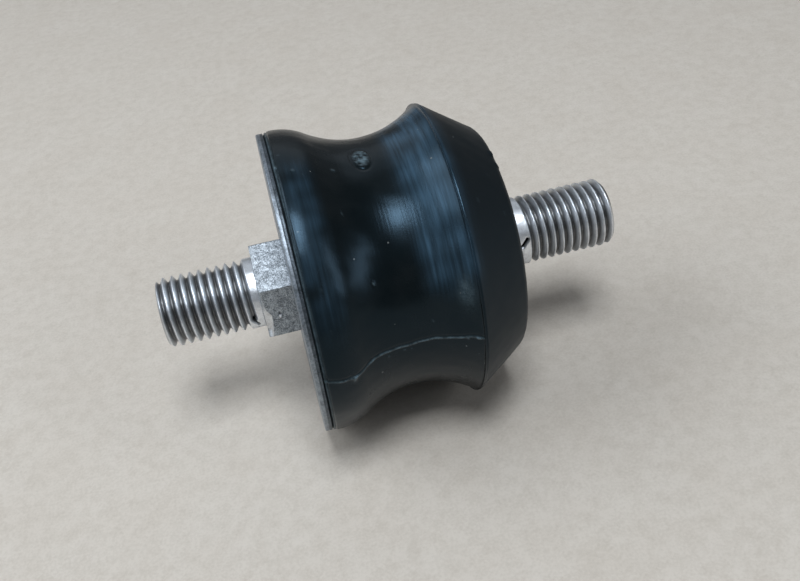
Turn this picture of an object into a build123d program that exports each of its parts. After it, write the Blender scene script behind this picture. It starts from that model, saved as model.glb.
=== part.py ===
"""Bobbin vibration mount: a waisted rubber body between a bare steel end plate and a buried steel
plate, with a threaded stud standing out of each end.

Everything lies on the X axis. The bare end plate and the stud with the hexagon face -X, and the
flared end with the plain stud faces +X. The origin is on the axis, in the middle of the overall
length. Lengths are in millimetres and angles in degrees. Distances along the mount are measured
from the outer face of the end plate, and station() turns them into X.
"""

from build123d import *
import os

# Body: from the end plate's outer face to the rubber face at the plain stud.
body_length = 30.0
plate_diameter = 42.0
plate_thickness = 1.0
plate_edge_radius = 0.15

# Rubber lip beside the end plate: it swells a little past the plate's rim.
lip_overhang = 0.55
lip_straight = 1.0
lip_width = 4.6

# Waist: one hollow arc from the lip to the flare.
waist_depth = 2.95

# Flare: the largest rim, a narrow land with a small step below it, then the taper to the end face.
flare_overhang = 0.1
flare_step = 0.25
land_width = 0.45
taper_length = 7.35
taper_drop = 5.1
shoulder_radius = 1.6

# Both studs: metric thread drawn at its major diameter, with a plain collar behind it.
thread_diameter = 10.0
collar_diameter = 10.0
stud_end_chamfer = 0.5

# Stud with the hexagon.
hex_stud_reach = 18.2
hex_across_flats = 13.0
hex_height = 4.5
hex_turn = 24.0
hex_collar_length = 1.3
hex_collar_fillet = 0.3
spigot_diameter = 8.0
spigot_head_diameter = 12.0
spigot_head_thickness = 1.4

# Plain stud, carried by the plate that is buried in the flared end. Its shoulder ends flush with
# the rubber, so that what is bolted on clamps against metal.
plain_stud_reach = 17.8
plain_collar_length = 4.4
shoulder_diameter = 12.0
buried_plate_thickness = 2.0
buried_plate_end_cover = 3.0
buried_plate_rim_cover = 1.4
buried_head_diameter = 16.0
buried_head_thickness = 2.4

# Values worked out from the sizes above.
overall_length = hex_stud_reach + body_length + plain_stud_reach
plate_radius = plate_diameter / 2
lip_radius = plate_radius + lip_overhang
waist_radius = plate_radius - waist_depth
flare_radius = plate_radius + flare_overhang
end_radius = flare_radius - taper_drop
buried_plate_radius = end_radius - buried_plate_rim_cover
buried_plate_outer = body_length - buried_plate_end_cover
buried_plate_inner = buried_plate_outer - buried_plate_thickness


def station(distance):
    """X of a place that lies this far from the end plate's outer face, into the body."""
    return hex_stud_reach - overall_length / 2 + distance


def disc(start, length, radius, mode=Mode.ADD):
    """Adds or cuts a round disc on the X axis, from one station over a length."""
    with BuildSketch(Plane.YZ.offset(station(start))) as circle:
        Circle(radius)
    extrude(circle.sketch, amount=length, mode=mode)


# End plate: a thin steel disc, pierced for the spigot of the hexagon stud.
with BuildPart() as end_plate:
    disc(0, plate_thickness, plate_radius)
    disc(0, plate_thickness, spigot_diameter / 2, Mode.SUBTRACT)
    rim = end_plate.edges().filter_by(GeomType.CIRCLE).group_by(SortBy.RADIUS)[-1]
    fillet(rim, min(plate_edge_radius, 0.45 * plate_thickness))

# Hexagon stud: thread, collar and hexagon in one piece, with a spigot closed over behind the plate.
with BuildPart() as hex_stud:
    with BuildSketch(Plane.YZ.offset(station(0))):
        RegularPolygon(hex_across_flats / 2, 6, major_radius=False, rotation=hex_turn)
    extrude(amount=-hex_height)
    disc(-hex_height, -hex_collar_length, collar_diameter / 2)
    collar_root = (
        hex_stud.edges()
        .filter_by(GeomType.CIRCLE)
        .filter_by_position(Axis.X, station(-hex_height) - 0.01, station(-hex_height) + 0.01)
    )
    flat_land = (hex_across_flats - collar_diameter) / 2
    fillet(collar_root, min(hex_collar_fillet, 0.8 * flat_land))
    thread_start = hex_height + hex_collar_length
    disc(-thread_start, thread_start - hex_stud_reach, thread_diameter / 2)
    chamfer(hex_stud.faces().sort_by(Axis.X)[0].edges(), stud_end_chamfer)
    disc(0, plate_thickness, spigot_diameter / 2)
    disc(plate_thickness, spigot_head_thickness, spigot_head_diameter / 2)

# Buried plate: a steel disc moulded into the flared end.
with BuildPart() as buried_plate:
    disc(buried_plate_inner, buried_plate_thickness, buried_plate_radius)
    disc(buried_plate_inner, buried_plate_thickness, shoulder_diameter / 2, Mode.SUBTRACT)

# Plain stud: its head bears on the buried plate, and its shoulder fills the plate's hole and the rubber's.
with BuildPart() as plain_stud:
    disc(buried_plate_inner - buried_head_thickness, buried_head_thickness, buried_head_diameter / 2)
    disc(buried_plate_inner, body_length - buried_plate_inner, shoulder_diameter / 2)
    disc(body_length, plain_collar_length, collar_diameter / 2)
    thread_length = plain_stud_reach - plain_collar_length
    disc(body_length + plain_collar_length, thread_length, thread_diameter / 2)
    chamfer(plain_stud.faces().sort_by(Axis.X)[-1].edges(), stud_end_chamfer)

# Rubber body. The waist is the arc that dips by waist_depth between two rims of equal height, and
# the lip's bead is the arc that leaves the straight lip tangentially and meets the waist
# tangentially, so both radii follow from the sizes.
lip_end = plate_thickness + lip_width
land_start = body_length - taper_length - land_width
land_end = body_length - taper_length
groove_rim_radius = flare_radius - flare_step
half_groove = (land_start - lip_end) / 2
groove_depth = groove_rim_radius - waist_radius
waist_arc_radius = (half_groove**2 + groove_depth**2) / (2 * groove_depth)
waist_middle = lip_end + half_groove

bead_start = plate_thickness + lip_straight
bead_drop = lip_radius - waist_radius
bead_run = waist_middle - bead_start
bead_radius = (bead_run**2 - bead_drop * (2 * waist_arc_radius - bead_drop)) / (2 * bead_drop)
bead_to_waist = Vector(bead_run, waist_radius + waist_arc_radius - lip_radius + bead_radius)
bead_end = Vector(bead_start, lip_radius - bead_radius) + bead_to_waist.normalized() * bead_radius

with BuildPart() as rubber_body:
    with BuildSketch(Plane.XY):
        with BuildLine():
            lip_face = Line((station(plate_thickness), 0), (station(plate_thickness), lip_radius))
            lip = Line(lip_face @ 1, (station(bead_start), lip_radius))
            bead = TangentArc(lip @ 1, (station(bead_end.X), bead_end.Y), tangent=(1, 0))
            waist = ThreePointArc(
                bead @ 1,
                (station(waist_middle), waist_radius),
                (station(land_start), groove_rim_radius),
            )
            step = Line(waist @ 1, (station(land_start), flare_radius))
            land = Line(step @ 1, (station(land_end), flare_radius))
            taper = Line(land @ 1, (station(body_length), end_radius))
            end_face = Line(taper @ 1, (station(body_length), 0))
            Line(end_face @ 1, lip_face @ 0)
        profile = make_face()
        shoulder = profile.vertices().sort_by_distance(taper @ 1)[0]
        fillet(shoulder, shoulder_radius)
    revolve(axis=Axis.X)
    # The metal fills these hollows: the spigot's head, the buried plate, and the stud's head and shoulder.
    disc(plate_thickness, spigot_head_thickness, spigot_head_diameter / 2, Mode.SUBTRACT)
    disc(buried_plate_inner, buried_plate_thickness, buried_plate_radius, Mode.SUBTRACT)
    disc(
        buried_plate_inner - buried_head_thickness,
        buried_head_thickness,
        buried_head_diameter / 2,
        Mode.SUBTRACT,
    )
    disc(buried_plate_outer, buried_plate_end_cover, shoulder_diameter / 2, Mode.SUBTRACT)

end_plate.part.label = "end_plate"
hex_stud.part.label = "hex_stud"
buried_plate.part.label = "buried_plate"
plain_stud.part.label = "plain_stud"
rubber_body.part.label = "rubber_body"

os.makedirs("parts", exist_ok=True)
for piece in (end_plate, hex_stud, buried_plate, plain_stud, rubber_body):
    export_step(piece.part, f"parts/{piece.part.label}.step")
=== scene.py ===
"""Bobbin vibration mount, dressed: black moulded rubber between a thin steel plate and a flared end, with a
rolled thread standing out of each end.

The mount lies along X, with the bare plate and the hexagon towards -X. Lengths are written in millimetres and
turned into metres by MM. An angle round the axis is counted in degrees from +Y towards +Z, so 180 faces the
viewer and 90 is the top.
"""
import math

import bpy
import numpy as np
from mathutils import Matrix, Vector


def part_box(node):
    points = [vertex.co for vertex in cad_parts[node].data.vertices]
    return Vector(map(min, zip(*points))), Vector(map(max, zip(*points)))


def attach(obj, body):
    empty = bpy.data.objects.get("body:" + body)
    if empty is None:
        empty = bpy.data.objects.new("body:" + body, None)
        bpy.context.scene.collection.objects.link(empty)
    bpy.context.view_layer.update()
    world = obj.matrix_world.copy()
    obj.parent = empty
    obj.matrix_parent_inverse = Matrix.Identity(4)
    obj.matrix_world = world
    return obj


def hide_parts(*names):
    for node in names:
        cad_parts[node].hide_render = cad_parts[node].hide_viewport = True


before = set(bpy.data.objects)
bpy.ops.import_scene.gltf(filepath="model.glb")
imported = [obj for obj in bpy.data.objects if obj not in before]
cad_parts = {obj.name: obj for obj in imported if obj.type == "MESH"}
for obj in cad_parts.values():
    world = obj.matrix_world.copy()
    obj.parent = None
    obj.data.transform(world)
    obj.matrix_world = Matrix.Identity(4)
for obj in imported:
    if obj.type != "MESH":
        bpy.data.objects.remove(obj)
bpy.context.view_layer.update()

MM = 0.001

# Radius of the ring next to the axis on flat and buried ends, in millimetres.
CORE_RADIUS = 0.5

# ---------------------------------------------------------------- sizes read from the frame


def corner_mm(node, which):
    """Lowest (0) or highest (1) corner of a CAD node, in millimetres."""
    return np.array(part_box(node)[which]) / MM


PLATE_FACE = corner_mm("end_plate", 0)[0]
PLATE_BACK = corner_mm("end_plate", 1)[0]
PLATE_RADIUS = corner_mm("end_plate", 1)[2]
BODY_END = corner_mm("rubber_body", 1)[0]
LIP_RADIUS = corner_mm("rubber_body", 1)[2]
HEX_STUD_TIP = corner_mm("hex_stud", 0)[0]
PLAIN_STUD_TIP = corner_mm("plain_stud", 1)[0]

# ---------------------------------------------------------------- the rubber's form

LIP_STRAIGHT = 1.0
LIP_WIDTH = 4.6
WAIST_DEPTH = 2.95
FLARE_OVERHANG = 0.1
FLARE_STEP = 0.25
LAND_WIDTH = 0.45
TAPER_LENGTH = 7.35
TAPER_DROP = 5.1
SHOULDER_RADIUS = 1.6
SEAT_DEPTH = 0.3

WAIST_RADIUS = PLATE_RADIUS - WAIST_DEPTH
FLARE_RADIUS = PLATE_RADIUS + FLARE_OVERHANG
END_RADIUS = FLARE_RADIUS - TAPER_DROP
LAND_END = BODY_END - TAPER_LENGTH
LAND_START = LAND_END - LAND_WIDTH

# ---------------------------------------------------------------- the plate's rim

# The rim lies this far inside the lip's radius. The shear broke through this far from the plate's face.
PLATE_BELOW_LIP = 0.16
SHEAR_BREAK = 0.58
PLATE_CORNER = 0.22

# ---------------------------------------------------------------- the studs and the hexagon

PITCH = 1.25
CREST_RADIUS = 4.93
THREAD_DEPTH = 0.767
COLLAR_RADIUS = 4.99
TIP_CHAMFER = 0.5
HEX_HEIGHT = 4.5
HEX_ACROSS_FLATS = 13.0
HEX_TURN = 24.0
HEX_FACE = PLATE_FACE - HEX_HEIGHT
SHOULDER_STUD_RADIUS = 6.0

# How far the hexagon runs into the plate, so that no gap shows.
HEX_OVERLAP = 0.05

# The last groove lifts out over this turn, in degrees, and by this much, in millimetres.
RUNOUT_TURN = 14.0
RUNOUT_LIFT = 1.05

# A stud's crest passes through its crest_at at this angle. A groove is 7/8 of the pitch wide at the crest.
CREST_ANGLE = 54.0
HALF_GROOVE = 0.4375
ROOT_SOFTNESS = 0.03
CHAMFER_SLOPE = 0.9

# ---------------------------------------------------------------- marks on the rubber's skin

PARTING_ANGLES = (180.0, 0.0)
GATE_ANGLE = 92.3
GATE_STATION = 12.6
GATE_HALF_LENGTH = 1.1
GATE_HALF_WIDTH = 2.0

# Where the flash crosses from one side of the parting plane to the other: distance from the plate, degrees.
PARTING_WANDER = ((1.2, -0.9), (5.0, 2.1), (8.1, -0.5), (12.0, 0.3), (17.4, -0.1), (22.3, -0.9))

# Small specks moulded into the skin: distance from the plate's face, angle, size across and height.
SKIN_SPECKS = (
    (1.4, 99.9, 0.34, 0.16),
    (3.4, 102.9, 0.34, 0.10),
    (4.5, 105.7, 0.24, 0.08),
    (8.5, 100.5, 0.42, 0.10),
    (2.1, 93.7, 0.25, 0.07),
    (9.8, 149.7, 0.30, 0.12),
    (3.2, 146.5, 0.22, 0.07),
    (3.3, 161.3, 0.24, 0.08),
    (8.0, 121.1, 0.26, 0.07),
    (10.0, 182.5, 0.24, 0.10),
    (12.2, 182.4, 0.26, 0.10),
    (13.1, 183.0, 0.22, 0.08),
    (20.4, 180.2, 0.30, 0.09),
    (21.6, 179.4, 0.40, 0.12),
    (16.4, 171.0, 0.20, 0.05),
    (6.2, 134.0, 0.20, 0.05),
    (27.6, 116.0, 0.20, 0.06),
    (28.3, 134.0, 0.24, 0.07),
    (24.9, 128.0, 0.30, 0.05),
    (14.8, 250.0, 0.35, 0.07),
    (6.9, 301.0, 0.30, 0.07),
    (25.6, 222.0, 0.35, 0.06),
    (17.8, 33.0, 0.30, 0.06),
    (4.1, 12.0, 0.30, 0.07),
)

# Flash left on the end face's shoulder: distance from the plate's face, angle, half width in degrees, reach.
FLASH_TAGS = ((29.55, 101.0, 2.2, 0.34), (29.75, 108.5, 1.6, 0.26), (29.4, 241.0, 3.4, 0.22))

# A patch of worn skin, then a spot of painted glint on its grainy skin near the flare: distance from the
# plate's face, half length, angle, half width in degrees.
RUBBED_PATCH = (20.7, 1.5, 151.0, 14.0)
PAINTED_GLINT_SPOT = (20.9, 0.8, 160.0, 5.0)

# The bluish reflection painted on the flare and on the bead: distance from the plate's face, half length,
# and the angles over which it comes and goes.
FLARE_PAINTED_REFLECTION = (19.6, 3.2, (40.0, 75.0), (146.0, 166.0))
BEAD_PAINTED_REFLECTION = (3.6, 2.0, (88.0, 112.0), (145.0, 172.0))


# ---------------------------------------------------------------- shared mesh helpers


def smooth_step(value, low, high):
    """0 below low, 1 above high, and the cubic 3t^2 - 2t^3 between."""
    t = np.clip((value - low) / (high - low), 0.0, 1.0)
    return t * t * (3.0 - 2.0 * t)


def turn_between(angle, centre):
    """Signed difference of two angles in degrees, folded into -180 to 180."""
    return (angle - centre + 180.0) % 360.0 - 180.0


def distance_round(angle, centre, radius):
    """Distance round the axis from a centre angle, along the surface, in millimetres."""
    return turn_between(angle, centre) * math.pi / 180 * radius


def soft_band(value, middle, half_width, power=2):
    """1 at the middle, near 0 past the half width: exp(-t^power). Power 4 gives it a flat top."""
    return np.exp(-(((value - middle) / half_width) ** power))


def soft_spot(along, across):
    """1 at the middle, near 0 past 1 in either direction: exp(-along^2 - across^2)."""
    return np.exp(-(along**2) - across**2)


def lumps(x, y, z, size, count=14, seed=1):
    """Smooth random relief, mostly from -1 to 1, with lumps about size long: the sum of sine waves that
    run in random directions, over the square root of their count."""
    waves = np.random.default_rng(seed)
    directions = waves.normal(size=(count, 3))
    directions /= np.linalg.norm(directions, axis=1)[:, None]
    lengths = size * waves.uniform(0.7, 1.6, count)
    starts = waves.uniform(0, 2 * math.pi, count)
    total = np.zeros(np.broadcast(x, y, z).shape)
    for direction, length, start in zip(directions, lengths, starts):
        along = x * direction[0] + y * direction[1] + z * direction[2]
        total += np.sin(2 * math.pi * along / length + start)
    return total / math.sqrt(count)


def closed_round(name, x, radius, angles, masks=None):
    """A closed surface round the X axis: rows follow the profile from the axis back to the axis, columns go
    round. A point is (x, radius cos a, radius sin a); the first and last rows shrink to one pole each. Masks
    are kept as point attributes, with 0 at the poles."""
    rows, columns = radius.shape
    turn = np.radians(angles)[None, :]
    points = np.stack(
        np.broadcast_arrays(x, radius * np.cos(turn), radius * np.sin(turn)), axis=-1
    )
    poles = np.array([[x[0].mean(), 0, 0], [x[-1].mean(), 0, 0]])
    vertices = np.concatenate([points.reshape(-1, 3), poles]) * MM
    index = np.arange(rows * columns).reshape(rows, columns)
    after = np.roll(index, -1, axis=1)
    quads = np.stack([index[:-1], after[:-1], after[1:], index[1:]], axis=-1).reshape(-1, 4)
    first, last = rows * columns, rows * columns + 1
    start_fan = np.stack([np.full(columns, first), after[0], index[0]], axis=-1)
    end_fan = np.stack([np.full(columns, last), index[-1], after[-1]], axis=-1)
    mesh = bpy.data.meshes.new(name)
    mesh.from_pydata(vertices.tolist(), [], quads.tolist() + start_fan.tolist() + end_fan.tolist())
    mesh.polygons.foreach_set("use_smooth", np.ones(len(mesh.polygons), bool))
    for mask_name, mask in (masks or {}).items():
        values = np.concatenate([mask.ravel(), [0.0, 0.0]]).astype(np.float32)
        mesh.attributes.new(mask_name, "FLOAT", "POINT").data.foreach_set("value", values)
    mesh.update()
    piece = bpy.data.objects.new(name, mesh)
    bpy.context.scene.collection.objects.link(piece)
    return piece


def line_points(start, end, count):
    """Points from start up to, but not including, end."""
    share = np.linspace(0, 1, count, endpoint=False)[:, None]
    return np.array(start) + share * (np.array(end) - np.array(start))


def arc_points(centre, radius, start, end, count):
    """Points on an arc, from one angle up to, but not including, another; angles from +x, in degrees."""
    turn = np.radians(np.linspace(start, end, count, endpoint=False))
    return np.stack([centre[0] + radius * np.cos(turn), centre[1] + radius * np.sin(turn)], axis=-1)


# ---------------------------------------------------------------- rubber body


def rubber_profile():
    """The outline in the half plane, as (x, radius) rows from the axis at the plate to the axis at the far
    end: a lip with two fine ridges, a bead arc, the waist arc, the land, the taper, a rounded shoulder, and
    the end face down to its seat on the stud. The waist arc runs as deep as the waist and ends at the flare;
    the bead arc leaves the lip level and meets the waist arc in a shared tangent."""
    lip_end = PLATE_BACK + LIP_WIDTH
    rim = FLARE_RADIUS - FLARE_STEP
    half_groove = (LAND_START - lip_end) / 2
    groove_depth = rim - WAIST_RADIUS
    waist_arc = (half_groove**2 + groove_depth**2) / (2 * groove_depth)
    waist_middle = lip_end + half_groove
    bead_start = PLATE_BACK + LIP_STRAIGHT
    bead_drop = LIP_RADIUS - WAIST_RADIUS
    bead_run = waist_middle - bead_start
    bead_arc = (bead_run**2 - bead_drop * (2 * waist_arc - bead_drop)) / (2 * bead_drop)
    bead_turn = math.degrees(math.asin(bead_run / (bead_arc + waist_arc)))
    waist_end = math.degrees(math.asin(half_groove / waist_arc))
    taper_turn = math.degrees(math.atan2(TAPER_DROP, TAPER_LENGTH))
    shoulder_run = SHOULDER_RADIUS * math.tan(math.radians((90 - taper_turn) / 2))
    shoulder_start = np.array([BODY_END, END_RADIUS]) - shoulder_run * np.array(
        [math.cos(math.radians(taper_turn)), -math.sin(math.radians(taper_turn))]
    )
    shoulder_centre = (BODY_END - SHOULDER_RADIUS, END_RADIUS - shoulder_run)
    seat_rim = (BODY_END, SHOULDER_STUD_RADIUS + 0.1)
    ridge = PLATE_BACK + 0.02
    pieces = [
        line_points((PLATE_BACK, CORE_RADIUS), (PLATE_BACK, PLATE_RADIUS - 0.35), 8),
        line_points((PLATE_BACK, PLATE_RADIUS - 0.35), (ridge, PLATE_RADIUS + 0.02), 3),
        line_points((ridge, PLATE_RADIUS + 0.02), (ridge + 0.16, PLATE_RADIUS + 0.3), 4),
        arc_points((ridge + 0.28, PLATE_RADIUS + 0.3), 0.12, 180, 90, 4),
        line_points((ridge + 0.28, PLATE_RADIUS + 0.42), (ridge + 0.42, PLATE_RADIUS + 0.34), 3),
        line_points((ridge + 0.42, PLATE_RADIUS + 0.34), (ridge + 0.6, LIP_RADIUS - 0.03), 4),
        line_points((ridge + 0.6, LIP_RADIUS - 0.03), (bead_start, LIP_RADIUS), 4),
        arc_points((bead_start, LIP_RADIUS - bead_arc), bead_arc, 90, 90 - bead_turn, 22),
        arc_points(
            (waist_middle, WAIST_RADIUS + waist_arc), waist_arc, 270 - bead_turn, 270 + waist_end, 78
        ),
        line_points((LAND_START, rim), (LAND_START + 0.03, FLARE_RADIUS - 0.05), 4),
        arc_points((LAND_START + 0.08, FLARE_RADIUS - 0.05), 0.05, 180, 90, 3),
        line_points((LAND_START + 0.08, FLARE_RADIUS), (LAND_START + 0.2, FLARE_RADIUS - 0.05), 3),
        line_points((LAND_START + 0.2, FLARE_RADIUS - 0.05), (LAND_END - 0.03, FLARE_RADIUS - 0.03), 3),
        line_points((LAND_END - 0.03, FLARE_RADIUS - 0.03), tuple(shoulder_start), 34),
        arc_points(shoulder_centre, SHOULDER_RADIUS, 90 - taper_turn, 0, 12),
        line_points((BODY_END, END_RADIUS - shoulder_run), seat_rim, 14),
        line_points(seat_rim, (BODY_END - SEAT_DEPTH, SHOULDER_STUD_RADIUS - 0.1), 4),
        np.array([[BODY_END - SEAT_DEPTH, CORE_RADIUS]]),
    ]
    return np.concatenate(pieces)


def rubber_angles():
    """Columns round the axis: about 1 degree apart, and closer beside the two parting lines and over the
    gate mark. The spacing wanted at each angle is summed, and even shares of the sum give the columns."""
    fine = np.linspace(0, 360, 7201)[:-1]
    wanted = np.full(fine.shape, 1.05)
    for centre in PARTING_ANGLES:
        wanted = np.minimum(wanted, 0.11 + 0.9 * smooth_step(np.abs(turn_between(fine, centre)), 0.9, 5.0))
    gate = np.abs(turn_between(fine, GATE_ANGLE))
    wanted = np.minimum(wanted, 0.32 + 0.7 * smooth_step(gate, 8.0, 14.0))
    passed = np.concatenate([[0.0], np.cumsum(1.0 / wanted)])
    columns = int(round(passed[-1] * (fine[1] - fine[0])))
    edges = np.concatenate([fine, [360.0]])
    return np.interp(np.linspace(0, passed[-1], columns, endpoint=False), passed, edges)


def add_parting_flash(relief, pale, x, angle, radius):
    """Two parting lines between lip and land: each a rough ridge with a shallow groove along one side, and a
    double lump where the flash crosses the parting plane. The crests are bruised pale."""
    station = x - PLATE_FACE
    between = smooth_step(station, 1.0, 1.3) * (1 - smooth_step(x, LAND_START - 0.1, LAND_START + 0.1))
    places, turns = np.array(PARTING_WANDER).T
    for number, centre in enumerate(PARTING_ANGLES):
        wander = np.interp(station, places, turns) * (1 - 2 * number)
        wander = wander + 0.35 * lumps(x, number * 7.0, 0.0, 3.0, seed=7 + number)
        across = distance_round(angle, centre + wander, radius)
        rough = 0.5 + 0.5 * lumps(x, 3.0 + number, 0.0, 0.9, seed=17 + number)
        ridge = soft_band(across, 0.0, 0.13) * between
        relief += (0.05 + 0.08 * np.clip(rough, 0.0, 1.6)) * ridge
        relief -= 0.045 * soft_band(across, -0.34, 0.2) * between
        pale += (0.35 + 0.65 * np.clip(rough, 0, 1)) * soft_band(across, 0.0, 0.16) * between
        lump_along = (station - 5.0 - 2.0 * number) / 0.42
        lump = soft_spot(lump_along, across / 0.26)
        lump += 0.8 * soft_spot(lump_along / 0.5, (across - 0.35) / 0.3)
        relief += 0.16 * lump
        pale += 0.8 * lump


def add_gate_scar(relief, pale, gritty, place, angle, radius):
    """The torn oval where the sprue broke off: rough and pale inside, with a raised rim and a shallow ditch
    round it, each a band over the distance from its middle."""
    along = (place[0] - PLATE_FACE - GATE_STATION) / GATE_HALF_LENGTH
    across = distance_round(angle, GATE_ANGLE, radius) / GATE_HALF_WIDTH
    far = np.sqrt(along**2 + across**2)
    torn = lumps(*place, 0.5, count=30, seed=9)
    inside = 1 - smooth_step(far, 0.8, 1.0)
    relief += (0.05 + 0.05 * torn) * inside
    relief += 0.08 * soft_band(far, 0.98, 0.12) - 0.09 * soft_band(far, 1.25, 0.13)
    pale += inside * np.clip(0.55 + 0.6 * torn, 0, 1)
    gritty += inside


def add_specks(relief, pale, station, angle, radius):
    """Each speck is a soft spot, a little longer round the axis than along it, and paler the higher it is."""
    for speck_station, speck_angle, size, height in SKIN_SPECKS:
        along = (station - speck_station) / (size * 0.42)
        across = distance_round(angle, speck_angle, radius) / (size * 0.55)
        speck = soft_spot(along, across)
        relief += height * speck
        pale += min(1.0, height * 6) * speck


def add_flash_tags(relief, station, place, angle):
    """Each tag of flash is a ragged fin round the end shoulder: a narrow band along the axis, times 1 - t^4
    across its width."""
    ragged = 0.7 + 0.3 * lumps(*place, 0.8, seed=3)
    for tag_station, tag_angle, half_width, reach in FLASH_TAGS:
        across = turn_between(angle, tag_angle) / half_width
        relief += reach * soft_band(station, tag_station, 0.2) * np.clip(1 - across**4, 0, 1) * ragged


def painted_reflection_band(reflection_paint, station, angle):
    """A flat-topped band of painted reflection along the axis, which comes and goes round it."""
    middle, half_length, comes, goes = reflection_paint
    band = soft_band(station, middle, half_length, power=4) * smooth_step(angle, *comes)
    return band * (1 - smooth_step(angle, *goes))


def skin_marks(x, angle, radius):
    """Relief and masks of the rubber's skin. The relief is long lumps, the flash of the parting lines, the
    gate's scar, moulded specks, and tags of flash on the end shoulder. The pale mask marks bruised rubber and
    a small painted glint near the flare, the gritty one torn or rubbed skin, and the third one a painted
    bluish reflection on the upper inner side of the flare and on the bead. All of it fades out towards the
    axis, on the faces that metal covers."""
    turn = np.radians(angle)
    place = (x, radius * np.cos(turn), radius * np.sin(turn))
    station = x - PLATE_FACE
    relief = 0.030 * lumps(*place, 9.0, seed=5) + 0.010 * lumps(*place, 2.6, seed=6)
    pale = np.zeros(x.shape)
    gritty = np.zeros(x.shape)
    add_parting_flash(relief, pale, x, angle, radius)
    add_gate_scar(relief, pale, gritty, place, angle, radius)
    add_specks(relief, pale, station, angle, radius)
    add_flash_tags(relief, station, place, angle)
    middle, half_length, centre, half_width = RUBBED_PATCH
    gritty += np.exp(
        -(((station - middle) / half_length) ** 2) - (turn_between(angle, centre) / half_width) ** 4
    )
    # A pale spot of painted glint on the grainy skin near the flare.
    middle, half_length, centre, half_width = PAINTED_GLINT_SPOT
    pale += 0.5 * soft_spot((station - middle) / half_length, turn_between(angle, centre) / half_width)
    # Painted bluish reflection on the upper inner side of the flare and on the bead.
    painted_reflection = painted_reflection_band(FLARE_PAINTED_REFLECTION, station, angle) * (0.75 + 0.25 * lumps(*place, 4.0, seed=12))
    painted_reflection += 0.40 * painted_reflection_band(BEAD_PAINTED_REFLECTION, station, angle) * (0.7 + 0.3 * lumps(*place, 3.0, seed=13))
    lip_edge = soft_band(station, 1.25, 0.22) * (radius > PLATE_RADIUS - 0.1)
    gritty += lip_edge
    pale += 0.5 * lip_edge
    outer = smooth_step(radius, 14.0, 16.5)
    masks = {"pale": pale, "gritty": gritty, "painted_reflection": painted_reflection}
    return relief * outer, {name: np.clip(mask, 0, 1) * outer for name, mask in masks.items()}


def make_rubber():
    """The moulding: the outline carried round the axis, with the skin's relief laid on along the outline's
    normal, kept inside the lip's radius and short of the end face."""
    profile = rubber_profile()
    angles = rubber_angles()
    x = np.repeat(profile[:, :1], len(angles), axis=1)
    radius = np.repeat(profile[:, 1:], len(angles), axis=1)
    angle = np.repeat(angles[None, :], len(profile), axis=0)
    along = np.gradient(profile, axis=0)
    along /= np.linalg.norm(along, axis=1)[:, None] + 1e-9
    relief, masks = skin_marks(x, angle, radius)
    free = (x > PLATE_BACK + 0.05) & (x < BODY_END - 0.01)
    relief = np.where(free, relief, 0.0)
    x = x - relief * along[:, 1:]
    radius = np.minimum(radius + relief * along[:, :1], LIP_RADIUS - 0.003)
    x = np.minimum(x, BODY_END)
    return closed_round("rubber_moulding", x, radius, angles, masks)


# ---------------------------------------------------------------- end plate


def make_plate():
    """The plate's outline goes up its outer face, over a rolled corner, across the rim with the faint groove
    where the shear broke through, and down its inner face. Its rim wavers a little."""
    corner = PLATE_CORNER
    break_at = PLATE_FACE + SHEAR_BREAK
    rim = LIP_RADIUS - PLATE_BELOW_LIP
    profile = np.concatenate(
        [
            line_points((PLATE_FACE, CORE_RADIUS), (PLATE_FACE, rim - corner), 30),
            arc_points((PLATE_FACE + corner, rim - corner), corner, 180, 90, 5),
            line_points((PLATE_FACE + corner, rim), (break_at - 0.05, rim), 4),
            line_points((break_at - 0.05, rim), (break_at, rim - 0.07), 2),
            line_points((break_at, rim - 0.07), (break_at + 0.06, rim - 0.02), 2),
            line_points((break_at + 0.06, rim - 0.02), (PLATE_BACK - 0.08, rim - 0.03), 3),
            line_points((PLATE_BACK - 0.08, rim - 0.03), (PLATE_BACK, rim - 0.12), 3),
            np.array([[PLATE_BACK, rim - 0.6], [PLATE_BACK, CORE_RADIUS]]),
        ]
    )
    angles = np.linspace(0, 360, 540, endpoint=False)
    x = np.repeat(profile[:, :1], len(angles), axis=1)
    radius = np.repeat(profile[:, 1:], len(angles), axis=1)
    turn = np.radians(angles)[None, :]
    waver = lumps(x * 0.6, radius * np.cos(turn), radius * np.sin(turn), 2.4, seed=21)
    radius = radius - np.where(radius > rim - 0.3, 0.018 * (1 + waver), 0.0)
    return closed_round("end_plate_disc", x, radius, angles)


# ---------------------------------------------------------------- threads and hexagon


def thread_radius(x, angle, crest_at, tip, crown_height, collar_edge, groove_end):
    """Radius of a right-hand 60 degree thread. The crest passes through crest_at at CREST_ANGLE. The groove
    is a V with a rounded root, lifted out along the helix where it ends at the collar, and the tip is
    chamfered. groove_end is the whole turn, in degrees from crest_at, at which the last groove has gone."""
    away = -1.0 if tip < 0 else 1.0
    turns = (x - crest_at) / PITCH - (angle - CREST_ANGLE) / 360.0 - 0.5
    nearest = np.round(turns)
    off = np.abs(turns - nearest)
    whole_turn = (nearest + 0.5) * 360.0 + (angle - CREST_ANGLE)
    left = (whole_turn - groove_end) * away
    lifted = 1.0 - smooth_step(left, 0.0, RUNOUT_TURN)
    cut = math.sqrt(3.0) * PITCH * (HALF_GROOVE - off)
    cut = cut - lifted * RUNOUT_LIFT
    depth = THREAD_DEPTH - np.logaddexp(0, (THREAD_DEPTH - cut) / ROOT_SOFTNESS) * ROOT_SOFTNESS
    depth = np.clip(depth, 0.0, None)
    collar_side = smooth_step((x - collar_edge) * -away, -1.4, -0.2)
    radius = CREST_RADIUS + (COLLAR_RADIUS - CREST_RADIUS) * collar_side - depth
    chamfer = CREST_RADIUS - TIP_CHAMFER + ((tip - x) * away - crown_height) * CHAMFER_SLOPE
    return np.minimum(radius, chamfer)


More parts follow.
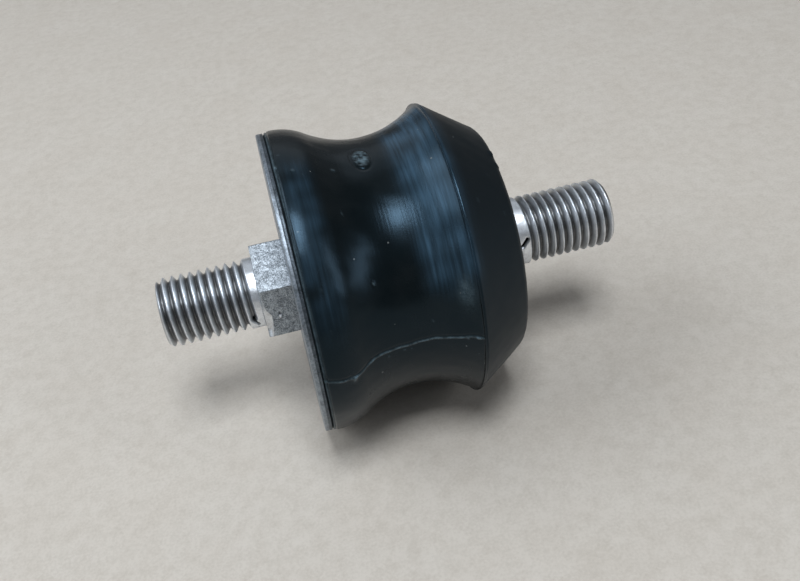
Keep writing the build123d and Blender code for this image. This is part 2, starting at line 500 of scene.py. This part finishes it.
def collar_nick(x, angle, start, end, depth, width):
    """Depth of the short diagonal fold beside the groove's end: a V along the line from start to end, both
    given as (x, angle), in the unrolled surface."""
    scale = COLLAR_RADIUS * math.pi / 180
    line = np.array([end[0] - start[0], turn_between(end[1], start[1]) * scale])
    length = np.linalg.norm(line)
    line /= length
    dx = x - start[0]
    dy = turn_between(angle, start[1]) * scale
    along = np.clip(dx * line[0] + dy * line[1], 0.0, length)
    far = np.hypot(dx - along * line[0], dy - along * line[1])
    return depth * np.exp(-((far / width) ** 2))


def make_stud(name, tip, crown_height, root, crest_at, collar_edge, groove_end, nick, lobe, root_radius):
    """A threaded stud as rows along X: a tip domed as the square of the radius, the thread's radius over x
    and angle, and a root. The collar has a diagonal nick where the groove ends and a low swelling, the lobe,
    beside it. The hollow mask marks the nick, which is painted in shade."""
    row_step = 0.05
    towards_root = 1.0 if root > tip else -1.0
    tip_rings = np.linspace(0.4, CREST_RADIUS - TIP_CHAMFER, 12)[:-1]
    shank = np.arange(crown_height, abs(root - tip), row_step) * towards_root + tip
    angles = np.linspace(0, 360, 216, endpoint=False)
    angle = np.repeat(angles[None, :], len(shank), axis=0)
    x = np.repeat(shank[:, None], len(angles), axis=1)
    radius = thread_radius(x, angle, crest_at, tip, crown_height, collar_edge, groove_end)
    turn = np.radians(angle)
    worn = lumps(x, radius * np.cos(turn), radius * np.sin(turn), 1.3, seed=31)
    radius = radius + 0.012 * worn
    fold = collar_nick(x, angle, *nick)
    radius = radius - fold
    lobe_x, lobe_angle, lobe_long, lobe_wide, lobe_height = lobe
    radius = radius + lobe_height * np.exp(
        -(((x - lobe_x) / lobe_long) ** 4) - (turn_between(angle, lobe_angle) / lobe_wide) ** 4
    )
    if root_radius:
        radius = np.where((x - BODY_END) < -0.02, root_radius, radius)
    crown = (crown_height * (tip_rings / tip_rings[-1]) ** 2)[:, None]
    head_x = np.repeat(tip + crown * towards_root, len(angles), axis=1)
    head_radius = np.repeat(tip_rings[:, None], len(angles), axis=1)
    tail_x = np.full((1, len(angles)), root)
    tail_radius = np.full((1, len(angles)), CORE_RADIUS)
    x = np.concatenate([head_x, x, tail_x])
    radius = np.concatenate([head_radius, radius, tail_radius])
    # Mask of the nick, where shade is painted.
    hollow_shade = np.concatenate([np.zeros_like(head_x), np.clip(fold / 0.35, 0, 1), np.zeros_like(tail_x)])
    if towards_root < 0:
        x, radius, hollow_shade = x[::-1], radius[::-1], hollow_shade[::-1]
    return closed_round(name, x, radius, angles, {"hollow_shade": hollow_shade})


# How far the forged outer edge of the hexagon is pushed in: angle, millimetres.
HEX_FACE_WANDER = (
    (140, 0.0), (146, 0.16), (160, 0.16), (169, 0.40), (177, 0.95), (189, 0.85), (203, 0.55), (207, 0.0)
)


def hex_outline(angle, across_flats, corner):
    """Polar radius of a hexagon with rounded corners: a soft minimum of the six flats' distances, each the
    apothem over the cosine of the turn from the flat's middle."""
    total = np.zeros(np.shape(angle))
    sharpness = 1.0 / corner
    for number in range(6):
        toward = np.cos(np.radians(turn_between(angle, HEX_TURN + 30 + 60 * number)))
        reach = across_flats / 2 / np.clip(toward, 0.2, 1.0)
        total += np.exp(-sharpness * (reach - across_flats / 2))
    return across_flats / 2 - np.log(total) / sharpness


def make_hexagon():
    """The hexagon, blasted and dull: up its outer face from the collar's root fillet, over a worn edge, along
    the flats to the plate, and back to the axis. Part of its outer edge is pushed in. One flat has a bright
    flake beside a pit. The shine mask marks the flake and the pushed edge, the hollow mask the pit, which is
    painted in shade."""
    edge = 0.16
    fillet = 0.32
    corner_softness = 0.028
    sunk = 0.03
    angles = np.linspace(0, 360, 432, endpoint=False)
    root = COLLAR_RADIUS - 0.05
    plate_end = PLATE_FACE + HEX_OVERLAP
    outline = hex_outline(angles, HEX_ACROSS_FLATS, corner_softness)
    rows_x, rows_radius = [], []
    for turn in np.radians(np.linspace(0, 90, 8)):
        rows_x.append(np.full(angles.shape, HEX_FACE - fillet * (1 - math.sin(turn))))
        rows_radius.append(np.full(angles.shape, root + fillet * (1 - math.cos(turn))))
    for share in np.linspace(0, 1, 12)[1:]:
        rows_x.append(np.full(angles.shape, HEX_FACE))
        rows_radius.append(root + fillet + share * (outline - edge - root - fillet))
    for turn in np.radians(np.linspace(0, 90, 6)[1:]):
        rows_x.append(np.full(angles.shape, HEX_FACE + edge * (1 - math.cos(turn))))
        rows_radius.append(outline - edge * (1 - math.sin(turn)))
    for x in np.linspace(HEX_FACE + edge, plate_end, 46)[1:]:
        rows_x.append(np.full(angles.shape, x))
        rows_radius.append(outline)
    x = np.array(rows_x)
    radius = np.array(rows_radius)
    turn = np.radians(angles)[None, :]
    y, z = radius * np.cos(turn), radius * np.sin(turn)
    rough = 0.012 * lumps(x, y, z, 0.6, count=24, seed=41) + 0.016 * lumps(x, y, z, 2.2, seed=42)
    places, depths = np.array(HEX_FACE_WANDER).T
    pushed = np.interp(angles, places, depths)[None, :]
    on_face = smooth_step(radius, 5.2, 5.6) * (x < HEX_FACE + edge * 0.6)
    chipped = np.clip(pushed / 0.5, 0, 1) * on_face
    fade = 1 - smooth_step(x, HEX_FACE + 0.6, HEX_FACE + 2.2)
    x = x + pushed * smooth_step(radius, 5.8, 6.4) * fade
    around = angles[None, :]
    flake_x = (x - (PLATE_FACE - 2.33)) / 0.19
    flake = soft_spot(flake_x, distance_round(around, 180.0, radius) / 0.19)
    pit_x = (x - (PLATE_FACE - 2.38)) / 0.14
    pit = soft_spot(pit_x, distance_round(around, 176.6, radius) / 0.2)
    radius = radius + (rough + 0.26 * flake - 0.14 * pit) * smooth_step(radius, 5.3, 5.6) - sunk
    x = np.minimum(x, plate_end)
    first_x = np.full((1, len(angles)), HEX_FACE - fillet)
    last_x = np.full((1, len(angles)), plate_end)
    core = np.full((1, len(angles)), CORE_RADIUS)
    blank = np.zeros_like(core)
    x = np.concatenate([first_x, x, last_x])
    radius = np.concatenate([core, radius, core])
    masks = {
        "shine": np.concatenate([blank, np.maximum(flake, 0.55 * chipped), blank]),
        # The pit's mask carries painted shade.
        "hollow_shade": np.concatenate([blank, pit, blank]),
    }
    return closed_round("hexagon", x, radius, angles, masks)


# ---------------------------------------------------------------- shader helpers


def new_material(name):
    material = bpy.data.materials.new(name)
    material.use_nodes = True
    return material, material.node_tree, material.node_tree.nodes["Principled BSDF"]


def add(tree, kind, values=None, **settings):
    """One node, with its settings and the default values of its inputs by name or number."""
    node = tree.nodes.new(kind)
    for key, value in settings.items():
        setattr(node, key, value)
    for key, value in (values or {}).items():
        node.inputs[key].default_value = value
    return node


def wire(tree, *pairs):
    for source, target in pairs:
        tree.links.new(source, target)


def spread(tree, value, values, **settings):
    """A value carried from one range to another, 0 to 1 where values leaves an end out."""
    node = add(tree, "ShaderNodeMapRange", values, **settings)
    wire(tree, (value, node.inputs["Value"]))
    return node.outputs["Result"]


def split_place(tree, place):
    """The X, Y and Z outputs of a place."""
    node = add(tree, "ShaderNodeSeparateXYZ")
    wire(tree, (place, node.inputs["Vector"]))
    return node.outputs


def object_place(tree):
    """The place on the piece, in metres."""
    return add(tree, "ShaderNodeTexCoord").outputs["Object"]


def ramp(tree, value, stops):
    """A colour ramp over a value, from (place, grey or colour) stops."""
    node = add(tree, "ShaderNodeValToRGB")
    elements = node.color_ramp.elements
    while len(elements) < len(stops):
        elements.new(0.5)
    for element, (place, colour) in zip(elements, stops):
        element.position = place
        element.color = (colour, colour, colour, 1) if isinstance(colour, float) else (*colour, 1)
    wire(tree, (value, node.inputs["Fac"]))
    return node.outputs["Color"]


def group_with(name, inputs, outputs):
    """An empty shader group with named value sockets, and its two ends."""
    group = bpy.data.node_groups.new(name, "ShaderNodeTree")
    for socket, kind in inputs:
        group.interface.new_socket(socket, in_out="INPUT", socket_type=kind)
    for socket, kind in outputs:
        group.interface.new_socket(socket, in_out="OUTPUT", socket_type=kind)
    return group, group.nodes.new("NodeGroupInput"), group.nodes.new("NodeGroupOutput")


def maths(tree, operation, first, second=None):
    node = add(tree, "ShaderNodeMath", operation=operation)
    for number, value in enumerate((first, second)):
        if value is None:
            continue
        if isinstance(value, (int, float)):
            node.inputs[number].default_value = value
        else:
            wire(tree, (value, node.inputs[number]))
    return node.outputs[0]


def make_ring_streaks():
    """Fine lines that run round the axis: noise squeezed along X and stretched round."""
    group, start, end = group_with(
        "ring_streaks",
        [("Vector", "NodeSocketVector"), ("Fineness", "NodeSocketFloat")],
        [("Streaks", "NodeSocketFloat")],
    )
    squeeze = add(group, "ShaderNodeMapping", {"Scale": (1.0, 0.05, 0.05)})
    noise = add(group, "ShaderNodeTexNoise", {"Detail": 6.0, "Roughness": 0.62})
    wire(
        group,
        (start.outputs["Vector"], squeeze.inputs["Vector"]),
        (squeeze.outputs["Vector"], noise.inputs["Vector"]),
        (start.outputs["Fineness"], noise.inputs["Scale"]),
        (noise.outputs["Fac"], end.inputs["Streaks"]),
    )
    return group


def make_grain():
    """Grain: fine noise plus a share of noise five times as coarse. Patches: noise 22 times as coarse."""
    group, start, end = group_with(
        "skin_grain",
        [
            ("Vector", "NodeSocketVector"),
            ("Fineness", "NodeSocketFloat"),
            ("Coarse Share", "NodeSocketFloat"),
        ],
        [("Grain", "NodeSocketFloat"), ("Patches", "NodeSocketFloat")],
    )
    fine = add(group, "ShaderNodeTexNoise", {"Detail": 4.0, "Roughness": 0.6})
    coarse = add(group, "ShaderNodeTexNoise", {"Detail": 3.0, "Roughness": 0.5})
    coarse_scale = maths(group, "MULTIPLY", start.outputs["Fineness"], 0.2)
    patch_scale = maths(group, "MULTIPLY", start.outputs["Fineness"], 0.045)
    patches = add(group, "ShaderNodeTexNoise", {"Detail": 3.0, "Roughness": 0.55})
    wire(
        group,
        (start.outputs["Vector"], fine.inputs["Vector"]),
        (start.outputs["Vector"], coarse.inputs["Vector"]),
        (start.outputs["Vector"], patches.inputs["Vector"]),
        (start.outputs["Fineness"], fine.inputs["Scale"]),
        (coarse_scale, coarse.inputs["Scale"]),
        (patch_scale, patches.inputs["Scale"]),
        (patches.outputs["Fac"], end.inputs["Patches"]),
    )
    part = maths(group, "MULTIPLY", coarse.outputs["Fac"], start.outputs["Coarse Share"])
    wire(group, (maths(group, "ADD", fine.outputs["Fac"], part), end.inputs["Grain"]))
    return group


def make_dust():
    """A mask of small scattered specks: a disc in each cell whose random red lies below the amount, as wide
    as the cell's random green says."""
    group, start, end = group_with(
        "dust_specks",
        [("Vector", "NodeSocketVector"), ("Spacing", "NodeSocketFloat"), ("Amount", "NodeSocketFloat")],
        [("Specks", "NodeSocketFloat")],
    )
    cells = add(group, "ShaderNodeTexVoronoi", {"Randomness": 1.0})
    split = add(group, "ShaderNodeSeparateColor")
    wire(
        group,
        (start.outputs["Vector"], cells.inputs["Vector"]),
        (start.outputs["Spacing"], cells.inputs["Scale"]),
        (cells.outputs["Color"], split.inputs["Color"]),
    )
    chosen = maths(group, "LESS_THAN", split.outputs["Red"], start.outputs["Amount"])
    size = maths(group, "MULTIPLY", split.outputs["Green"], 0.24)
    near = maths(group, "LESS_THAN", cells.outputs["Distance"], size)
    wire(group, (maths(group, "MULTIPLY", chosen, near), end.inputs["Specks"]))
    return group


RING_STREAKS = make_ring_streaks()
SKIN_GRAIN = make_grain()
DUST_SPECKS = make_dust()


def use_group(tree, group, vector, values):
    node = add(tree, "ShaderNodeGroup", node_tree=group)
    for key, value in values.items():
        node.inputs[key].default_value = value
    wire(tree, (vector, node.inputs["Vector"]))
    return node


def blend_colours(tree, mask, first, second):
    """First where the mask is 0, second where it is 1; each a colour or an output."""
    node = add(tree, "ShaderNodeMix", data_type="RGBA")
    wire(tree, (mask, node.inputs["Factor"]))
    for socket, value in (("A", first), ("B", second)):
        slot = [s for s in node.inputs if s.name == socket and s.type == "RGBA"][0]
        if isinstance(value, tuple):
            slot.default_value = (*value, 1)
        else:
            wire(tree, (value, slot))
    return [s for s in node.outputs if s.type == "RGBA"][0]


def raise_surface(tree, shader, layers):
    """Bump nodes in a row, one for each (height, distance in metres, strength)."""
    normal = None
    for height, distance, strength in layers:
        bump = add(tree, "ShaderNodeBump", {"Distance": distance, "Strength": strength})
        wire(tree, (height, bump.inputs["Height"]))
        if normal is not None:
            wire(tree, (normal, bump.inputs["Normal"]))
        normal = bump.outputs["Normal"]
    wire(tree, (normal, shader.inputs["Normal"]))


def mask_of(tree, name):
    """A point attribute of the piece, as a value."""
    return add(tree, "ShaderNodeAttribute", attribute_name=name).outputs["Fac"]


# ---------------------------------------------------------------- colours and finishes

RUBBER_BLACK = (0.0030, 0.0045, 0.0045)
RUBBER_GREYED = (0.0062, 0.0078, 0.0078)
RUBBER_TAPER = (0.0066, 0.0084, 0.0090)
# Bluish reflection painted on the flare and the bead.
RUBBER_PAINTED_REFLECTION = (0.046, 0.092, 0.140)
# Bruised rubber, and the painted glint near the flare.
RUBBER_BRUISE_AND_GLINT = (0.105, 0.150, 0.175)
RUBBER_DUST = (0.12, 0.13, 0.13)
RUBBER_SHEEN = (0.43, 0.72, 1.0, 1)

# Painted shade in the thread's roots.
THREAD_ROOT_SHADE = (0.12, 0.12, 0.12)
THREAD_CREST = (0.86, 0.90, 0.95)
THREAD_STAIN = (0.38, 0.39, 0.41)
# Painted shade in the collar's nick.
THREAD_NICK_SHADE = (0.02, 0.02, 0.02)

HEX_DULL = (0.17, 0.19, 0.21)
HEX_GRAIN = (0.52, 0.57, 0.62)
HEX_FLECK = (0.80, 0.83, 0.87)
HEX_SHINE = (0.95, 0.96, 0.97)
# Painted shade in the hexagon's pit.
HEX_PIT_SHADE = (0.03, 0.03, 0.03)

SHEARED_DARK, SHEARED_LIGHT = (0.17, 0.195, 0.22), (0.34, 0.39, 0.45)
TORN_DARK, TORN_LIGHT = (0.045, 0.055, 0.065), (0.14, 0.17, 0.20)
INNER_DARK, INNER_LIGHT = (0.30, 0.30, 0.30), (0.46, 0.46, 0.45)
BOARD_DARK, BOARD_LIGHT, BOARD_FIBRE = (0.585, 0.530, 0.465), (0.640, 0.595, 0.535), (0.42, 0.37, 0.31)

# The skin is rubbed from the first of these distances from the plate's face, and fully at the second.
RUBBED_FROM = 9.0
RUBBED_FULL = 18.0


def black_rubber():
    """Black rubber with greyer patches, a painted bluish reflection streaked round the axis, bruises with a
    painted glint, and dust. The taper is a little paler and duller, and the inner side of the flare is rubbed
    in rings."""
    material, tree, shader = new_material("black_moulded_rubber")
    place = object_place(tree)
    grain = use_group(tree, SKIN_GRAIN, place, {"Fineness": 4600.0, "Coarse Share": 0.8})
    rings = use_group(tree, RING_STREAKS, place, {"Fineness": 2400.0})
    dust = use_group(tree, DUST_SPECKS, place, {"Spacing": 1500.0, "Amount": 0.02})
    pale, gritty = mask_of(tree, "pale"), mask_of(tree, "gritty")
    along = split_place(tree, place)["X"]
    near_flare = spread(
        tree,
        along,
        {
            "From Min": (PLATE_FACE + RUBBED_FROM) * MM,
            "From Max": (PLATE_FACE + RUBBED_FULL) * MM,
            "To Min": 0.25,
        },
        interpolation_type="SMOOTHSTEP",
    )
    on_taper = spread(tree, along, {"From Min": LAND_END * MM, "From Max": (LAND_END + 0.1) * MM})
    rubbed = maths(tree, "MAXIMUM", maths(tree, "SUBTRACT", near_flare, on_taper), 0.0)
    patches = ramp(tree, grain.outputs["Patches"], [(0.42, 0.0), (0.70, 1.0)])
    colour = blend_colours(tree, patches, RUBBER_BLACK, RUBBER_GREYED)
    colour = blend_colours(tree, on_taper, colour, RUBBER_TAPER)
    streaked = ramp(tree, rings.outputs["Streaks"], [(0.30, 0.25), (0.66, 1.0)])
    # Painted bluish reflection, streaked round the axis.
    reflection_paint = maths(tree, "MULTIPLY", mask_of(tree, "painted_reflection"), streaked)
    colour = blend_colours(tree, reflection_paint, colour, RUBBER_PAINTED_REFLECTION)
    spots = ramp(tree, grain.outputs["Grain"], [(0.72, 0.0), (1.05, 1.0)])
    spots = maths(tree, "ADD", maths(tree, "MULTIPLY", spots, 0.7), 0.3)
    # Pale bruises, and a painted glint near the flare.
    colour = blend_colours(tree, maths(tree, "MULTIPLY", pale, spots), colour, RUBBER_BRUISE_AND_GLINT)
    colour = blend_colours(tree, dust.outputs["Specks"], colour, RUBBER_DUST)
    wire(tree, (colour, shader.inputs["Base Color"]))
    rough = spread(tree, grain.outputs["Patches"], {"To Min": 0.20, "To Max": 0.32})
    rough = maths(tree, "ADD", rough, maths(tree, "MULTIPLY", on_taper, 0.20))
    rough = maths(tree, "ADD", rough, maths(tree, "MULTIPLY", gritty, 0.10))
    wire(tree, (rough, shader.inputs["Roughness"]))
    shader.inputs["Specular IOR Level"].default_value = 0.30
    shader.inputs["Specular Tint"].default_value = RUBBER_SHEEN
    streaks = maths(tree, "MULTIPLY", rings.outputs["Streaks"], rubbed)
    grit = maths(tree, "MULTIPLY", grain.outputs["Grain"], gritty)
    raise_surface(
        tree,
        shader,
        [(grain.outputs["Grain"], 0.00001, 0.35), (streaks, 0.00006, 0.6), (grit, 0.00005, 0.7)],
    )
    return material


def zinc_thread():
    """Bright zinc, with painted shade in the roots that fades to the pale crests by the distance from the
    axis, painted shade in the collar's nick, and stains.
    """
    material, tree, shader = new_material("bright_zinc_thread")
    place = object_place(tree)
    grain = use_group(tree, SKIN_GRAIN, place, {"Fineness": 5200.0, "Coarse Share": 0.8})
    rings = use_group(tree, RING_STREAKS, place, {"Fineness": 9000.0})
    parts = split_place(tree, place)
    square = maths(
        tree,
        "ADD",
        maths(tree, "MULTIPLY", parts["Y"], parts["Y"]),
        maths(tree, "MULTIPLY", parts["Z"], parts["Z"]),
    )
    # Painted shade: darker towards the roots, by the distance from the axis.
    crest = spread(
        tree,
        maths(tree, "SQRT", square),
        {"From Min": (CREST_RADIUS - THREAD_DEPTH) * MM, "From Max": (CREST_RADIUS - 0.08) * MM},
    )
    colour = blend_colours(tree, crest, THREAD_ROOT_SHADE, THREAD_CREST)
    stain = ramp(tree, grain.outputs["Grain"], [(0.62, 1.0), (0.95, 0.0)])
    colour = blend_colours(tree, maths(tree, "MULTIPLY", stain, 0.40), colour, THREAD_STAIN)
    # Painted shade in the collar's nick.
    colour = blend_colours(tree, mask_of(tree, "hollow_shade"), colour, THREAD_NICK_SHADE)
    wire(tree, (colour, shader.inputs["Base Color"]))
    shader.inputs["Metallic"].default_value = 1.0
    rough = spread(tree, grain.outputs["Patches"], {"To Min": 0.30, "To Max": 0.48})
    wire(tree, (rough, shader.inputs["Roughness"]))
    raise_surface(
        tree, shader, [(rings.outputs["Streaks"], 0.00002, 0.5), (grain.outputs["Grain"], 0.00003, 0.5)]
    )
    return material


def blasted_zinc():
    """Dull zinc speckled by blasting, with bright flecks; the speckle is brighter and smoother."""
    material, tree, shader = new_material("blasted_zinc_hexagon")
    place = object_place(tree)
    grain = use_group(tree, SKIN_GRAIN, place, {"Fineness": 6200.0, "Coarse Share": 0.45})
    dust = use_group(tree, DUST_SPECKS, place, {"Spacing": 2600.0, "Amount": 0.14})
    speckle = ramp(tree, grain.outputs["Grain"], [(0.60, 0.0), (0.84, 1.0)])
    colour = blend_colours(tree, speckle, HEX_DULL, HEX_GRAIN)
    colour = blend_colours(tree, dust.outputs["Specks"], colour, HEX_FLECK)
    colour = blend_colours(tree, mask_of(tree, "shine"), colour, HEX_SHINE)
    # Painted shade in the pit.
    colour = blend_colours(tree, mask_of(tree, "hollow_shade"), colour, HEX_PIT_SHADE)
    wire(tree, (colour, shader.inputs["Base Color"]))
    shader.inputs["Metallic"].default_value = 0.85
    rough = spread(tree, speckle, {"To Min": 0.58, "To Max": 0.44})
    wire(tree, (rough, shader.inputs["Roughness"]))
    raise_surface(tree, shader, [(grain.outputs["Grain"], 0.00006, 0.6)])
    return material


def plated_sheet():
    """Plated sheet: the sheared side of the rim is bright, and the torn side, past the break, is dark."""
    material, tree, shader = new_material("zinc_plated_sheet")
    place = object_place(tree)
    grain = use_group(tree, SKIN_GRAIN, place, {"Fineness": 4200.0, "Coarse Share": 0.6})
    rings = use_group(tree, RING_STREAKS, place, {"Fineness": 7000.0})
    torn_side = spread(
        tree,
        split_place(tree, place)["X"],
        {"From Min": (PLATE_FACE + 0.50) * MM, "From Max": (PLATE_FACE + SHEAR_BREAK) * MM},
    )
    speckle = ramp(tree, grain.outputs["Grain"], [(0.62, 0.0), (0.98, 1.0)])
    sheared = blend_colours(tree, speckle, SHEARED_DARK, SHEARED_LIGHT)
    torn = blend_colours(tree, speckle, TORN_DARK, TORN_LIGHT)
    wire(tree, (blend_colours(tree, torn_side, sheared, torn), shader.inputs["Base Color"]))
    shader.inputs["Metallic"].default_value = 0.9
    rough = spread(tree, grain.outputs["Patches"], {"To Min": 0.36, "To Max": 0.52})
    wire(tree, (rough, shader.inputs["Roughness"]))
    raise_surface(
        tree, shader, [(grain.outputs["Grain"], 0.00003, 0.5), (rings.outputs["Streaks"], 0.00003, 0.4)]
    )
    return material


def bare_inner_steel():
    """Plain steel with soft patches, for the disc inside the rubber."""
    material, tree, shader = new_material("bare_inner_steel")
    place = object_place(tree)
    grain = use_group(tree, SKIN_GRAIN, place, {"Fineness": 3000.0, "Coarse Share": 0.8})
    colour = blend_colours(tree, grain.outputs["Patches"], INNER_DARK, INNER_LIGHT)
    wire(tree, (colour, shader.inputs["Base Color"]))
    shader.inputs["Metallic"].default_value = 1.0
    shader.inputs["Roughness"].default_value = 0.5
    raise_surface(tree, shader, [(grain.outputs["Grain"], 0.00003, 0.4)])
    return material


# ---------------------------------------------------------------- dress the pieces


def dress(piece, material, slot, *nodes):
    """Gives a piece its finish and body, and hides the CAD nodes that it stands for. The slot is not used."""
    piece.data.materials.clear()
    piece.data.materials.append(material)
    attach(piece, "root")
    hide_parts(*nodes)


thread_finish = zinc_thread()

dress(make_rubber(), black_rubber(), "rubber", "rubber_body")
dress(make_plate(), plated_sheet(), "plate_steel", "end_plate")
dress(make_hexagon(), blasted_zinc(), "stud_zinc", "hex_stud")
dress(
    make_stud(
        "hex_end_thread",
        tip=HEX_STUD_TIP,
        crown_height=0.1,
        root=HEX_FACE + 0.2,
        crest_at=PLATE_FACE - 15.82,
        collar_edge=HEX_FACE - 1.3,
        groove_end=360 * 7.5 + 151,
        nick=((-20.85, 194.0), (-20.2, 207.0), 0.55, 0.13),
        lobe=(-20.75, 214.0, 0.34, 9.0, 0.05),
        root_radius=None,
    ),
    thread_finish,
    "stud_zinc",
    "hex_stud",
)
dress(
    make_stud(
        "plain_end_thread",
        tip=PLAIN_STUD_TIP,
        crown_height=0.6,
        root=BODY_END - 0.25,
        crest_at=PLATE_FACE + 36.36,
        collar_edge=BODY_END + 4.4,
        groove_end=-360 * 1.5 - 34,
        nick=((19.1, 161.0), (18.3, 172.0), 0.75, 0.18),
        lobe=(18.75, 200.0, 0.48, 24.0, 0.10),
        root_radius=SHOULDER_STUD_RADIUS,
    ),
    thread_finish,
    "stud_zinc",
    "plain_stud",
)
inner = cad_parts["buried_plate"]
inner.data.materials.clear()
inner.data.materials.append(bare_inner_steel())

# ---------------------------------------------------------------- floor, lights and camera

FLOOR_REACH = 1.6
LAMP_DISTANCE = 0.60
DAYLIGHT = (0.90, 0.95, 1.0)
SKYLIGHT = (0.92, 0.96, 1.0)

# Each lamp: name, direction from the mount, width and height in metres, watts, colour.
LAMPS = (
    ("overhead_window", (-0.02, -0.29, 0.95), (0.20, 0.22), 2.2, DAYLIGHT),
    ("left_window", (-0.76, 0.14, 0.63), (0.46, 0.46), 2.0, DAYLIGHT),
    ("back_window", (0.0, 0.75, 0.66), (0.60, 0.40), 0.32, SKYLIGHT),
    ("right_slit", (0.73, -0.50, 0.43), (0.10, 0.35), 0.45, SKYLIGHT),
)

ROOM_COLOUR = (0.88, 0.93, 1.0, 1)
ROOM_STRENGTH = 0.14

# The camera's heading from +X, its tilt below the horizon and its roll, in degrees; its place in millimetres.
CAMERA_HEADING = 81.0745
CAMERA_DOWN = 39.1578
CAMERA_ROLL = -7.8024
CAMERA_PLACE = (-15.6441, -104.0507, 79.8704)
CAMERA_LENS = 41.183
SENSOR_WIDTH = 36.0


def make_floor():
    """A wide pale sheet, tangent to the lip and to the flare, so both rims touch it."""
    lip_at = (PLATE_BACK + LIP_STRAIGHT) * MM
    flare_at = LAND_END * MM
    lip_low = -LIP_RADIUS * MM
    flare_low = -FLARE_RADIUS * MM
    slope = (flare_low - lip_low) / (flare_at - lip_at)
    signs = ((-1, -1), (1, -1), (1, 1), (-1, 1))
    corners = []
    for x_sign, y_sign in signs:
        x = x_sign * FLOOR_REACH
        corners.append((x, y_sign * FLOOR_REACH, lip_low + slope * (x - lip_at)))
    mesh = bpy.data.meshes.new("floor")
    mesh.from_pydata(corners, [], [(0, 1, 2, 3)])
    floor = bpy.data.objects.new("floor", mesh)
    bpy.context.scene.collection.objects.link(floor)
    material, tree, shader = new_material("pale_board")
    place = object_place(tree)
    grain = use_group(tree, SKIN_GRAIN, place, {"Fineness": 2500.0, "Coarse Share": 0.7})
    colour = blend_colours(tree, grain.outputs["Patches"], BOARD_DARK, BOARD_LIGHT)
    fibres = ramp(tree, grain.outputs["Grain"], [(0.55, 1.0), (1.25, 0.0)])
    colour = blend_colours(tree, maths(tree, "MULTIPLY", fibres, 0.46), colour, BOARD_FIBRE)
    wire(tree, (colour, shader.inputs["Base Color"]))
    shader.inputs["Roughness"].default_value = 0.9
    floor.data.materials.append(material)


def area_light(name, direction, size, power, colour):
    """A soft box that looks at the mount from a direction."""
    light = bpy.data.lights.new(name, "AREA")
    light.shape = "RECTANGLE"
    light.size, light.size_y = size
    light.energy = power
    light.color = colour
    lamp = bpy.data.objects.new(name, light)
    toward = Vector(direction).normalized()
    lamp.location = toward * LAMP_DISTANCE
    lamp.rotation_euler = toward.to_track_quat("Z", "Y").to_euler()
    bpy.context.scene.collection.objects.link(lamp)


def make_world():
    """An even, faintly blue room."""
    world = bpy.data.worlds.new("soft_room")
    bpy.context.scene.world = world
    world.use_nodes = True
    background = world.node_tree.nodes["Background"]
    background.inputs["Color"].default_value = ROOM_COLOUR
    background.inputs["Strength"].default_value = ROOM_STRENGTH


def make_camera():
    """The camera looks down on the mount from the front, rolled so that the mount's axis climbs to the
    right."""
    heading, down = math.radians(CAMERA_HEADING), math.radians(CAMERA_DOWN)
    forward = Vector(
        (math.cos(down) * math.cos(heading), math.cos(down) * math.sin(heading), -math.sin(down))
    )
    level_right = forward.cross(Vector((0, 0, 1))).normalized()
    level_up = level_right.cross(forward)
    roll = math.radians(CAMERA_ROLL)
    right = level_right * math.cos(roll) + level_up * math.sin(roll)
    up = right.cross(forward)
    camera_data = bpy.data.cameras.new("camera")
    camera_data.lens = CAMERA_LENS
    camera_data.sensor_width = SENSOR_WIDTH
    camera_data.clip_start = 0.005
    camera = bpy.data.objects.new("camera", camera_data)
    basis = Matrix((right, up, -forward)).transposed().to_4x4()
    camera.matrix_world = Matrix.Translation(Vector(CAMERA_PLACE) * MM) @ basis
    bpy.context.scene.collection.objects.link(camera)
    bpy.context.scene.camera = camera


make_floor()
make_world()
for lamp in LAMPS:
    area_light(*lamp)
make_camera()
bpy.context.scene.view_settings.view_transform = "Standard"
